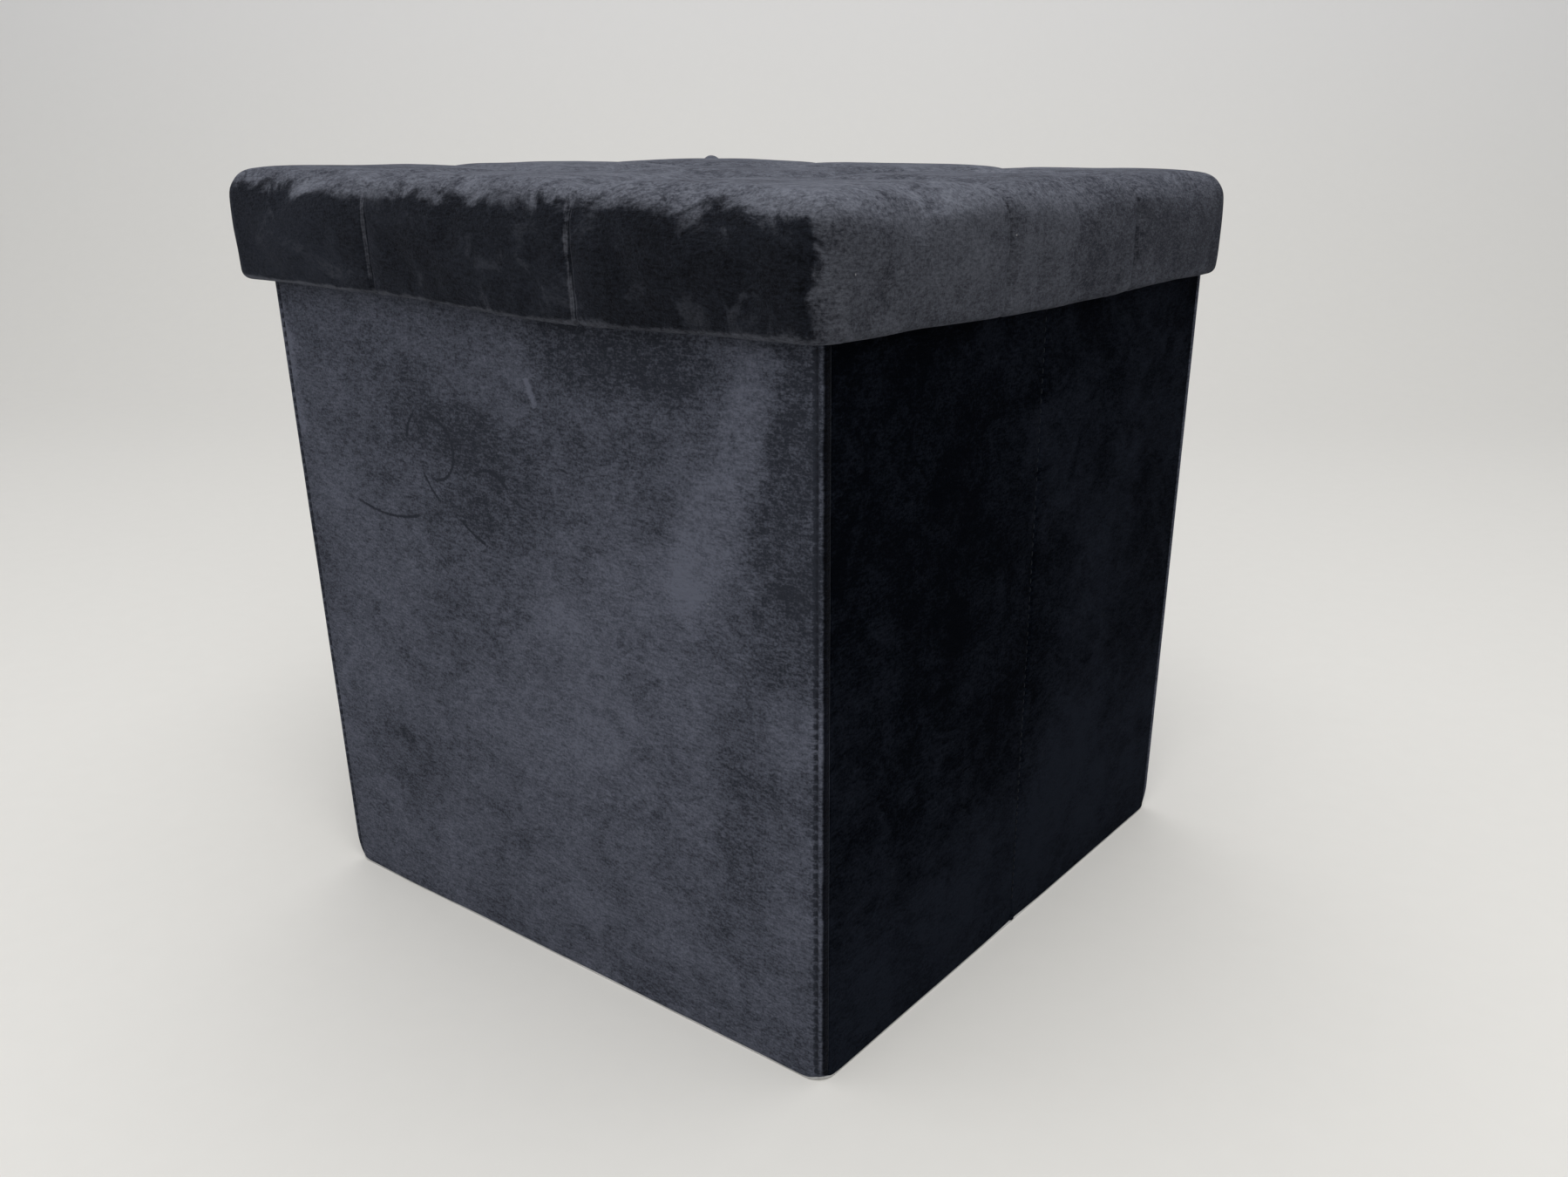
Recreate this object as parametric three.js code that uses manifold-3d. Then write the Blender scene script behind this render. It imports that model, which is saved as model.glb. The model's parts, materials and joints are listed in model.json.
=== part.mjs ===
// Folding storage ottoman: a velvet cube whose side walls fold inwards, with a lift-off padded lid.
// Millimetres, +Z up, origin on the floor under the centre, front wall facing -Y.
import * as THREE from 'three';
import { mergeVertices } from 'three/addons/utils/BufferGeometryUtils.js';
import Module from 'manifold-3d';

// ---- driving dimensions -------------------------------------------------------------------------

// Box
const BODY_WIDTH = 350;
const BODY_DEPTH = 350;
const WALL_TOP = 351.5;

// Wall layers, from the outside to the inside
const VELVET = 1.5;
const WALL_BOARD = 3;
const LINING = 0.6;
const CORNER_RADIUS = 2.2;
const FOOT_RADIUS = 9;

// The velvet goes over the top edge of each wall and this far down inside it, to where the lining begins
const TURN_IN = 14;

// Bottom: a non-woven sheet on the floor, then the base flap
const BOTTOM_SHEET = 0.9;
const BASE_BOARD = 2.4;
const BASE_COVER = 0.7;
const BASE_MARGIN = 4;
const BASE_CORNER_RADIUS = 6;

// Lid: a rim that fits over the box, padded on top and a little down its sides
const TOP_PADDING = 27.4;
const SIDE_PADDING_X = 3.8;
const SIDE_PADDING_Y = 1.8;
const RIM_DEPTH = 16;
const LID_BOARD = 3;
const RIM_BOARD = 2.2;
const COVER = 1.5;
const TURN_UNDER = 1.6;
const LID_BOARD_CORNER_RADIUS = 6;
const LID_CORNER_RADIUS = 16;
const LID_EDGE_RADIUS = 11;
const RIM_PLAY_X = 6.2;
const RIM_PLAY_Y = 2.2;

// The lid is a loose fit and lies pushed over by this much
const LID_SHIFT_X = -5.6;
const LID_SHIFT_Y = -1.3;

// Clearances
const SKIN_GAP = 0.2;
const PLATE_GAP = 0.3;
const BUTT_GAP = 0.6;
const FOLD_GAP = 2;
const FLAP_GAP = 0.6;
const POCKET = 5.2;

// ---- derived places -----------------------------------------------------------------------------

const HALF_X = BODY_WIDTH / 2;
const HALF_Y = BODY_DEPTH / 2;
const WALL = VELVET + SKIN_GAP + WALL_BOARD + SKIN_GAP + LINING;
const INNER_X = HALF_X - WALL;
const INNER_Y = HALF_Y - WALL;

// The folded side halves lie a pocket's width in front of the back wall, so that the raised flap fits
// between them: each corner hinge stands half a pocket inside both of its walls. The middle hinges stand
// just outside the velvet, where the two halves of a side meet face to face when they are folded.
const HINGE_INSET = POCKET / 2;

// Distances from the middle plane to the faces of a wall's layers, in the long walls' depth direction
// and in the side walls' width direction
const Y_VELVET_IN = HALF_Y - VELVET;
const Y_BOARD_OUT = Y_VELVET_IN - SKIN_GAP;
const Y_BOARD_IN = Y_BOARD_OUT - WALL_BOARD;
const Y_LINING_OUT = Y_BOARD_IN - SKIN_GAP;
const X_VELVET_IN = HALF_X - VELVET;
const X_BOARD_OUT = X_VELVET_IN - SKIN_GAP;
const X_BOARD_IN = X_BOARD_OUT - WALL_BOARD;
const X_LINING_OUT = X_BOARD_IN - SKIN_GAP;

const BOARD_TOP = WALL_TOP - VELVET - SKIN_GAP;
const LINING_TOP = WALL_TOP - TURN_IN - PLATE_GAP;

const BASE_Z = BOTTOM_SHEET + PLATE_GAP;
const BASE_COVER_Z = BASE_Z + BASE_BOARD + SKIN_GAP;
const WALL_Z = BASE_COVER_Z + BASE_COVER + PLATE_GAP;

const LID_LINING_Z = WALL_TOP + PLATE_GAP;
const LID_BOARD_Z = LID_LINING_Z + LINING + SKIN_GAP;
const RIM_TOP = LID_BOARD_Z - PLATE_GAP;
const RIM_Z = WALL_TOP - RIM_DEPTH;
const LID_Z = RIM_Z - TURN_UNDER;
const RIM_INNER_X = HALF_X + RIM_PLAY_X + LINING + SKIN_GAP;
const RIM_INNER_Y = HALF_Y + RIM_PLAY_Y + LINING + SKIN_GAP;
const RIM_OUTER_X = RIM_INNER_X + RIM_BOARD;
const RIM_OUTER_Y = RIM_INNER_Y + RIM_BOARD;
const COVER_WRAP = PLATE_GAP + SKIN_GAP + COVER;
const LID_HALF_X = RIM_OUTER_X + SIDE_PADDING_X + COVER_WRAP;
const LID_HALF_Y = RIM_OUTER_Y + SIDE_PADDING_Y + COVER_WRAP;
const LID_TOP = LID_BOARD_Z + LID_BOARD + TOP_PADDING + COVER_WRAP;

// Further than any piece reaches, for cuts that run right through
const FAR = 10000;

// ---- materials ----------------------------------------------------------------------------------

function material(color, roughness) {
  return new THREE.MeshStandardMaterial({ color, roughness, metalness: 0 });
}

const velvetColour = 0x24262d;
const liningColour = 0x17181a;
const boardColour = 0xa88a63;
const sheetColour = 0xb9bab8;
const foamColour = 0xe8e4d8;

// ---- geometry helpers ---------------------------------------------------------------------------

const wasm = await Module();
wasm.setup();

function toSolid(geometry) {
  const bare = new THREE.BufferGeometry();
  bare.setAttribute('position', geometry.getAttribute('position').clone());
  if (geometry.index) {
    bare.setIndex(geometry.index.clone());
  }
  const merged = mergeVertices(bare, 1e-4);
  const vertProperties = new Float32Array(merged.getAttribute('position').array);
  const triVerts = new Uint32Array(merged.index.array);
  return new wasm.Manifold(new wasm.Mesh({ numProp: 3, vertProperties, triVerts }));
}

function toGeometry(solid) {
  const mesh = solid.getMesh();
  const geometry = new THREE.BufferGeometry();
  geometry.setAttribute('position', new THREE.BufferAttribute(new Float32Array(mesh.vertProperties), 3));
  geometry.setIndex(new THREE.BufferAttribute(new Uint32Array(mesh.triVerts), 1));
  geometry.computeVertexNormals();
  return geometry;
}

// A box from its low corner to its high corner.
function block(low, high) {
  const size = high.map((value, i) => value - low[i]);
  const geometry = new THREE.BoxGeometry(size[0], size[1], size[2]);
  geometry.translate(low[0] + size[0] / 2, low[1] + size[1] / 2, low[2] + size[2] / 2);
  return geometry;
}

function roundedRectangle(halfX, halfY, radius) {
  const shape = new THREE.Shape();
  const x = halfX - radius;
  const y = halfY - radius;
  shape.absarc(x, -y, radius, -Math.PI / 2, 0, false);
  shape.absarc(x, y, radius, 0, Math.PI / 2, false);
  shape.absarc(-x, y, radius, Math.PI / 2, Math.PI, false);
  shape.absarc(-x, -y, radius, Math.PI, 1.5 * Math.PI, false);
  shape.closePath();
  return shape;
}

// An upright prism of a plan outline between two heights.
function prism(shape, low, high, curveSegments = 6) {
  const geometry = new THREE.ExtrudeGeometry(shape, {
    depth: high - low,
    bevelEnabled: false,
    curveSegments,
  });
  geometry.translate(0, 0, low);
  return geometry;
}

// A rounded pillow shape: plan outline with both its top and bottom edges rounded over.
function cushion(halfX, halfY, low, high, cornerRadius, edgeRadius) {
  const shape = roundedRectangle(halfX - edgeRadius, halfY - edgeRadius, cornerRadius - edgeRadius);
  const geometry = new THREE.ExtrudeGeometry(shape, {
    depth: high - low - 2 * edgeRadius,
    bevelEnabled: true,
    bevelThickness: edgeRadius,
    bevelSize: edgeRadius,
    bevelSegments: 6,
    curveSegments: 8,
  });
  geometry.translate(0, 0, low + edgeRadius);
  return geometry;
}

const ottoman = new THREE.Group();

function add(group, name, geometry, colour, roughness) {
  const mesh = new THREE.Mesh(geometry, material(colour, roughness));
  mesh.name = name;
  group.add(mesh);
}

// ---- bottom sheet and base flap -----------------------------------------------------------------

function makeBottomSheet() {
  const outline = roundedRectangle(HALF_X - VELVET, HALF_Y - VELVET, CORNER_RADIUS);
  add(ottoman, 'bottom_sheet', prism(outline, 0, BOTTOM_SHEET), sheetColour, 0.95);
}

// The flap lies flat below the walls and swings up about its rear edge, against the back wall.
function makeBaseFlap() {
  const flap = new THREE.Group();
  const halfX = INNER_X - BASE_MARGIN;
  const front = -INNER_Y + BASE_MARGIN;
  const rear = INNER_Y - FLAP_GAP;
  const outline = roundedRectangle(halfX, (rear - front) / 2, BASE_CORNER_RADIUS);
  const layers = [
    ['base_board', BASE_Z, BASE_BOARD, boardColour, 0.8],
    ['base_cover', BASE_COVER_Z, BASE_COVER, liningColour, 0.95],
  ];
  for (const [name, z, thickness, colour, roughness] of layers) {
    add(flap, name, prism(outline, z, z + thickness), colour, roughness);
  }
  flap.position.y = (front + rear) / 2;
  ottoman.add(flap);
}

// ---- walls --------------------------------------------------------------------------------------

// A wall board's outline in elevation, between two ends, with its foot rounded at either or both of them.
function boardOutline(left, right, leftFoot, rightFoot) {
  const shape = new THREE.Shape();
  shape.moveTo(left, BOARD_TOP);
  if (leftFoot > 0) {
    shape.absarc(left + leftFoot, WALL_Z + leftFoot, leftFoot, Math.PI, 1.5 * Math.PI, false);
  } else {
    shape.lineTo(left, WALL_Z);
  }
  if (rightFoot > 0) {
    shape.absarc(right - rightFoot, WALL_Z + rightFoot, rightFoot, 1.5 * Math.PI, 2 * Math.PI, false);
  } else {
    shape.lineTo(right, WALL_Z);
  }
  shape.lineTo(right, BOARD_TOP);
  shape.closePath();
  return shape;
}

// An outline in x and z, made into a plate between two places along y.
function uprightPlate(shape, low, high) {
  const geometry = prism(shape, 0, high - low);
  geometry.rotateX(Math.PI / 2);
  geometry.translate(0, high, 0);
  return geometry;
}

// Joins solids that overlap into one.
function join(...geometries) {
  return toGeometry(geometries.map(toSolid).reduce((whole, part) => whole.add(part)));
}

// Front and back walls run the full width. Their velvet wraps round both ends of the board and over its
// top. The wall is drawn as the front one, and the back one is turned round to face +Y.
function makeLongWall(prefix, turn) {
  const corner = HALF_X - CORNER_RADIUS;
  const wrap = new THREE.Shape();
  wrap.moveTo(-HALF_X, -Y_BOARD_IN);
  wrap.absarc(-corner, -HALF_Y + CORNER_RADIUS, CORNER_RADIUS, Math.PI, 1.5 * Math.PI, false);
  wrap.absarc(corner, -HALF_Y + CORNER_RADIUS, CORNER_RADIUS, -Math.PI / 2, 0, false);
  wrap.lineTo(HALF_X, -Y_BOARD_IN);
  wrap.lineTo(X_VELVET_IN, -Y_BOARD_IN);
  wrap.lineTo(X_VELVET_IN, -Y_VELVET_IN);
  wrap.lineTo(-X_VELVET_IN, -Y_VELVET_IN);
  wrap.lineTo(-X_VELVET_IN, -Y_BOARD_IN);
  wrap.closePath();
  const overEnd = X_VELVET_IN + VELVET / 2;
  const overFront = Y_VELVET_IN + VELVET / 2;
  const over = block([-overEnd, -overFront, WALL_TOP - VELVET], [overEnd, -Y_BOARD_IN, WALL_TOP]);
  const overInside = block([-INNER_X, -Y_BOARD_OUT, WALL_TOP - VELVET], [INNER_X, -INNER_Y, WALL_TOP]);
  const inside = block([-INNER_X, -Y_LINING_OUT, WALL_TOP - TURN_IN],
    [INNER_X, -INNER_Y, WALL_TOP - VELVET / 2]);

  const boardEnd = X_VELVET_IN - SKIN_GAP;
  const outline = boardOutline(-boardEnd, boardEnd, FOOT_RADIUS, FOOT_RADIUS);
  const board = uprightPlate(outline, -Y_BOARD_OUT, -Y_BOARD_IN);
  const lining = block([-INNER_X, -Y_LINING_OUT, WALL_Z], [INNER_X, -INNER_Y, LINING_TOP]);

  const wall = new THREE.Group();
  const velvet = join(prism(wrap, WALL_Z, WALL_TOP), over, overInside, inside);
  add(wall, `${prefix}_velvet`, velvet, velvetColour, 0.9);
  add(wall, `${prefix}_board`, board, boardColour, 0.8);
  add(wall, `${prefix}_lining`, lining, liningColour, 0.95);
  wall.rotation.z = turn;
  ottoman.add(wall);
}

// Half of a side wall, between a long wall and the fold line at the middle. sideX and sideY are the signs
// of its quarter of the plan.
function makeSideHalf(prefix, sideX, sideY) {
  const end = INNER_Y - BUTT_GAP;
  const middle = FOLD_GAP / 2;
  function panel(inner, outer, low, high) {
    const x = [sideX * inner, sideX * outer].sort((a, b) => a - b);
    const y = [sideY * middle, sideY * end].sort((a, b) => a - b);
    return block([x[0], y[0], low], [x[1], y[1], high]);
  }
  const velvet = join(
    panel(X_VELVET_IN, HALF_X, WALL_Z, WALL_TOP),
    panel(INNER_X, X_VELVET_IN + VELVET / 2, WALL_TOP - VELVET, WALL_TOP),
    panel(INNER_X, X_LINING_OUT, WALL_TOP - TURN_IN, WALL_TOP - VELVET / 2),
  );
  const ends = [sideY * middle, sideY * end].sort((a, b) => a - b);
  const feet = sideY > 0 ? [0, FOOT_RADIUS] : [FOOT_RADIUS, 0];
  const depth = [sideX * X_BOARD_IN, sideX * X_BOARD_OUT].sort((a, b) => b - a);
  const board = uprightPlate(boardOutline(...ends, ...feet), -depth[0], -depth[1]);
  board.rotateZ(Math.PI / 2);
  const lining = panel(INNER_X, X_LINING_OUT, WALL_Z, LINING_TOP);
  add(ottoman, `${prefix}_velvet`, velvet, velvetColour, 0.9);
  add(ottoman, `${prefix}_board`, board, boardColour, 0.8);
  add(ottoman, `${prefix}_lining`, lining, liningColour, 0.95);
}

// ---- lid ----------------------------------------------------------------------------------------

function makeLid() {
  const lid = new THREE.Group();

  const outline = roundedRectangle(RIM_OUTER_X, RIM_OUTER_Y, LID_BOARD_CORNER_RADIUS);
  add(lid, 'lid_board', prism(outline, LID_BOARD_Z, LID_BOARD_Z + LID_BOARD), boardColour, 0.8);

  // Rim boards, cut to the lid board's rounded outline: front and back run the full width, and left and
  // right fit between them.
  const outside = toSolid(prism(outline, RIM_Z - PLATE_GAP, RIM_TOP + PLATE_GAP));
  function addRim(name, low, high) {
    const rim = toSolid(block([...low, RIM_Z], [...high, RIM_TOP])).intersect(outside);
    add(lid, `lid_rim_${name}`, toGeometry(rim), boardColour, 0.8);
  }
  const sideEnd = RIM_INNER_Y - PLATE_GAP;
  addRim('front', [-RIM_OUTER_X, -RIM_OUTER_Y], [RIM_OUTER_X, -RIM_INNER_Y]);
  addRim('back', [-RIM_OUTER_X, RIM_INNER_Y], [RIM_OUTER_X, RIM_OUTER_Y]);
  addRim('left', [-RIM_OUTER_X, -sideEnd], [-RIM_INNER_X, sideEnd]);
  addRim('right', [RIM_INNER_X, -sideEnd], [RIM_OUTER_X, sideEnd]);

  // Padding: a foam cap over the top and down the outside of the rim.
  const padX = LID_HALF_X - COVER - SKIN_GAP;
  const padY = LID_HALF_Y - COVER - SKIN_GAP;
  const padRadius = LID_EDGE_RADIUS - COVER - SKIN_GAP;
  const padCorner = LID_CORNER_RADIUS - COVER - SKIN_GAP;
  const padTop = LID_TOP - COVER - SKIN_GAP;
  const coreOutline = roundedRectangle(RIM_OUTER_X + PLATE_GAP, RIM_OUTER_Y + PLATE_GAP,
    LID_BOARD_CORNER_RADIUS + PLATE_GAP);
  const core = prism(coreOutline, -FAR, LID_BOARD_Z + LID_BOARD + PLATE_GAP);
  const padBlank = cushion(padX, padY, RIM_Z - padRadius, padTop, padCorner, padRadius);
  const padFloor = block([-FAR, -FAR, -FAR], [FAR, FAR, RIM_Z]);
  const padding = toSolid(padBlank).subtract(toSolid(core)).subtract(toSolid(padFloor));
  add(lid, 'lid_padding', toGeometry(padding), foamColour, 0.95);

  // Velvet cover: over the padding and turned under the rim.
  const coverBlank = cushion(LID_HALF_X, LID_HALF_Y, LID_Z - LID_EDGE_RADIUS, LID_TOP,
    LID_CORNER_RADIUS, LID_EDGE_RADIUS);
  const coverFloor = block([-FAR, -FAR, -FAR], [FAR, FAR, LID_Z]);
  const hollow = cushion(padX + SKIN_GAP, padY + SKIN_GAP, RIM_Z - PLATE_GAP - LID_EDGE_RADIUS,
    padTop + SKIN_GAP, padCorner + SKIN_GAP, padRadius + SKIN_GAP);
  const hollowFloor = block([-FAR, -FAR, -FAR], [FAR, FAR, RIM_Z - PLATE_GAP]);
  const mouth = block([-RIM_INNER_X, -RIM_INNER_Y, -FAR], [RIM_INNER_X, RIM_INNER_Y, RIM_Z]);
  const room = toSolid(hollow).subtract(toSolid(hollowFloor));
  const cover = toSolid(coverBlank).subtract(toSolid(coverFloor)).subtract(room).subtract(toSolid(mouth));
  add(lid, 'lid_cover', toGeometry(cover), velvetColour, 0.9);

  // Lining: a shallow tray inside the rim, under the board.
  const trayX = RIM_INNER_X - SKIN_GAP;
  const trayY = RIM_INNER_Y - SKIN_GAP;
  const trayCorner = LID_BOARD_CORNER_RADIUS - RIM_BOARD - SKIN_GAP;
  const trayOutside = roundedRectangle(trayX, trayY, trayCorner);
  const trayInside = roundedRectangle(trayX - LINING, trayY - LINING, trayCorner - LINING);
  const tray = toSolid(prism(trayOutside, RIM_Z, LID_LINING_Z + LINING))
    .subtract(toSolid(prism(trayInside, -FAR, LID_LINING_Z)));
  add(lid, 'lid_lining', toGeometry(tray), liningColour, 0.95);
  lid.position.set(LID_SHIFT_X, LID_SHIFT_Y, 0);
  ottoman.add(lid);
}

makeBottomSheet();
makeBaseFlap();
makeLongWall('back', Math.PI);
makeLongWall('front', 0);
makeSideHalf('right_rear', 1, 1);
makeSideHalf('right_front', 1, -1);
makeSideHalf('left_rear', -1, 1);
makeSideHalf('left_front', -1, -1);
makeLid();

// Hinge lines: upright ones at the corners and middles of the sides in plan, mirrored to all four
// corners and both sides, and the base flap's, along X through this y and z.
ottoman.userData.hinges = {
  corner: [INNER_X - HINGE_INSET, INNER_Y - HINGE_INSET],
  middle: [HALF_X + PLATE_GAP, 0],
  flap: [INNER_Y - FLAP_GAP, WALL_Z - PLATE_GAP],
};

export default ottoman;
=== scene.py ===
# The looks of a folding storage ottoman: velvet sleeve, quilted lid, linings, threads and studio.
# Metres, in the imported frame: +Z up, the plain front wall facing -Y, the folding sides at +X and -X.

import json
import math

import bpy
import numpy as np
from mathutils import Matrix, Vector, noise

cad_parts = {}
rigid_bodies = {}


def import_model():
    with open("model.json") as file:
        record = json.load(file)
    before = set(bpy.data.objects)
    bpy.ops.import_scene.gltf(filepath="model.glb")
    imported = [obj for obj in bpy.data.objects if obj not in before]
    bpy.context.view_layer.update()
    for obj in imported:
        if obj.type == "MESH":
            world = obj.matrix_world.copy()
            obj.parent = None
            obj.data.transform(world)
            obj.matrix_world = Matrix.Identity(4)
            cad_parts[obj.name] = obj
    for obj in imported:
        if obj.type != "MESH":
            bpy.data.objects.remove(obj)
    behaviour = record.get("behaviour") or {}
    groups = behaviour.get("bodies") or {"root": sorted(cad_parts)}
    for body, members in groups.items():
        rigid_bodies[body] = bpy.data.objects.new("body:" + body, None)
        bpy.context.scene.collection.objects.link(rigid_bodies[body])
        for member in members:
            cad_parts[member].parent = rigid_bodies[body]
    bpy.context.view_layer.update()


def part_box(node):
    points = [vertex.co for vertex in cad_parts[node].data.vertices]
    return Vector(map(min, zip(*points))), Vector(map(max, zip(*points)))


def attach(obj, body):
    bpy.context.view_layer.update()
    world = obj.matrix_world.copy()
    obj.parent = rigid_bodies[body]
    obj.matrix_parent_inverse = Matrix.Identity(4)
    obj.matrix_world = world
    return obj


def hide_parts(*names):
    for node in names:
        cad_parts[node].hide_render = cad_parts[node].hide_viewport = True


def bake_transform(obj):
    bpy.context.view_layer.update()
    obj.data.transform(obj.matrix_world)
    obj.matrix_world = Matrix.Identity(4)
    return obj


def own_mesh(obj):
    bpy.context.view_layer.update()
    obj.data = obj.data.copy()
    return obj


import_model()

MM = 0.001

# ---- places taken from the frame ----

front_low, front_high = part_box("front_velvet")
HALF_X = front_high.x
HALF_Y = -front_low.y
WALL_TOP = front_high.z
WALL_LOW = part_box("front_board")[0].z
INNER_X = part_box("right_rear_lining")[0].x
INNER_Y = -front_high.y
LINING_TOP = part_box("front_lining")[1].z
SHEET_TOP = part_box("bottom_sheet")[1].z
SIDE_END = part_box("right_rear_velvet")[1].y
lid_low, lid_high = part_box("lid_cover")
LID_CENTRE = (lid_low + lid_high) / 2
LID_HALF = (lid_high - lid_low) / 2

# ---- the velvet sleeve ----

VELVET = 1.2 * MM
HEM_Z = SHEET_TOP + 0.3 * MM
CORNER_RADIUS = 3.2 * MM
FOOT_RADIUS = 9 * MM
FOOT_HEIGHT = 15 * MM
FOOT_RISE = 3.4 * MM
FOOT_REACH = 13 * MM
TOP_ROUND = 1.6 * MM
WALL_DEPTH = HALF_Y - INNER_Y
RETURN_END = SIDE_END + 1.2 * MM
STITCH_INSET = 3.6 * MM
STITCH_PITCH = 4.7 * MM
FOLD_LEAN = 4 * MM
FOLD_DEPTH = 1.2 * MM
FOLD_REACH = 0.8 * MM
GROOVE_WIDTH = 1.2 * MM
HEM_TURN = ((2.2 * MM, 1.2 * MM), (1.0 * MM, 0.1 * MM))
LOW_ROWS = [0.0, 0.8 * MM, 1.8 * MM, 3.2 * MM, 5 * MM, 7 * MM, 9.5 * MM]
ROW_STEP = 2.6 * MM
STITCH_LENGTH = 3.4 * MM
STITCH_RADIUS = 0.42 * MM

# ---- the other cloths ----

THIN_CLOTH = 0.5 * MM
LINING_STEP = 5 * MM
LINING_AIR = 0.1 * MM
BASE_BORDER = 6 * MM
BASE_CLOTH = 0.4 * MM
LID_LINING_EDGE = 2 * MM
LID_LINING_STOP = 3 * MM

# ---- the lid's quilting, from the lid's centre ----

SEAMS_X = (-73 * MM, 60.4 * MM)
SEAMS_Y = (-56.5 * MM, 67.2 * MM)
LID_EDGE = 10 * MM
LID_CORNER = 3 * MM
LID_UNDER = 3.5 * MM
PUFF = 5.5 * MM
SIDE_PUFF = 1.3 * MM
PAD_SLOPE = 9 * MM
WRINKLE = 2.2 * MM
TIP_INSET = 7 * MM
TIP_HEIGHT = 5 * MM
TIP_REACH = 9 * MM
RIM_TURN_UP = 6 * MM
LID_VELVET = 1.0 * MM


# ---- mesh helpers ----

def make_piece(name, points, faces):
    mesh = bpy.data.meshes.new(name)
    mesh.from_pydata([tuple(map(float, p)) for p in points], [], faces)
    mesh.update()
    mesh.polygons.foreach_set("use_smooth", [True] * len(mesh.polygons))
    piece = bpy.data.objects.new(name, mesh)
    bpy.context.scene.collection.objects.link(piece)
    return piece


def grid_faces(rows, columns, start=0):
    """Quads of a grid stored row by row, facing (row direction) x (column direction)."""
    faces = []
    for r in range(rows - 1):
        for c in range(columns - 1):
            a = start + r * columns + c
            faces.append((a, a + columns, a + columns + 1, a + 1))
    return faces


def round_corner(x, y, half_x, half_y, radius):
    """Where a point of a rectangular grid goes when the grid's corners are rounded."""
    a = (abs(x) - half_x + radius) / radius
    b = (abs(y) - half_y + radius) / radius
    if a <= 0 or b <= 0:
        return x, y
    return (math.copysign(half_x - radius + radius * a * math.sqrt(1 - b * b / 2), x),
            math.copysign(half_y - radius + radius * b * math.sqrt(1 - a * a / 2), y))


def edge_loop(rows, columns):
    """(row, column) of a grid's outermost points, once round."""
    loop = [(0, c) for c in range(columns)] + [(r, columns - 1) for r in range(1, rows)]
    loop += [(rows - 1, c) for c in range(columns - 2, -1, -1)]
    return loop + [(r, 0) for r in range(rows - 2, 0, -1)]


def join_loops(first, second):
    """Quads between two closed loops of points."""
    count = len(first)
    return [(first[i], first[(i + 1) % count], second[(i + 1) % count], second[i]) for i in range(count)]


def flip_up(piece):
    """Turns the faces over if the piece's first one faces down."""
    if piece.data.polygons[0].normal.z < 0:
        piece.data.flip_normals()


def settle(piece):
    """Puts what the piece's modifiers make in place of its mesh."""
    bpy.context.view_layer.update()
    graph = bpy.context.evaluated_depsgraph_get()
    mesh = bpy.data.meshes.new_from_object(
        piece.evaluated_get(graph), preserve_all_data_layers=True, depsgraph=graph)
    piece.modifiers.clear()
    piece.data = mesh
    mesh.polygons.foreach_set("use_smooth", [True] * len(mesh.polygons))


def thicken(piece, thickness):
    """Makes a sheet into a closed cloth of this thickness, kept inside its face."""
    solid = piece.modifiers.new("thickness", "SOLIDIFY")
    solid.thickness = thickness
    solid.offset = -1
    settle(piece)


def coordinates(mesh):
    co = np.empty(len(mesh.vertices) * 3, np.float32)
    mesh.vertices.foreach_get("co", co)
    return co.reshape(-1, 3).astype(float)


def move_along_normals(piece, distances):
    mesh = piece.data
    mesh.update()
    normals = np.empty(len(mesh.vertices) * 3, np.float32)
    mesh.vertex_normals.foreach_get("vector", normals)
    co = coordinates(mesh) + normals.reshape(-1, 3) * np.asarray(distances)[:, None]
    mesh.vertices.foreach_set("co", co.astype(np.float32).ravel())
    mesh.update()


def spread(low, high, step, lines=(), near=()):
    """Places from low to high about step apart, with a place on each line and at the near offsets."""
    fixed = {low, high}
    for line in lines:
        fixed.update(line + side * n for n in near for side in (-1, 1))
        fixed.add(line)
    fixed = sorted(p for p in fixed if low <= p <= high)
    places = []
    for a, b in zip(fixed, fixed[1:]):
        count = max(1, round((b - a) / step))
        places += [a + (b - a) * i / count for i in range(count)]
    return places + [high]


def bump(distance, width):
    return np.exp(-(np.asarray(distance) / width) ** 2)


def soft_noise(points, size, seed):
    """Smooth noise from about -1 to 1 with features of this size."""
    return np.array([noise.noise(Vector(p) / size + Vector((seed, seed, seed))) for p in points])


def turned(points, half_turn):
    """The points, or the points turned half round the upright axis."""
    return points * np.array([-1, -1, 1]) if half_turn else points


# ---- materials ----

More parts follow.
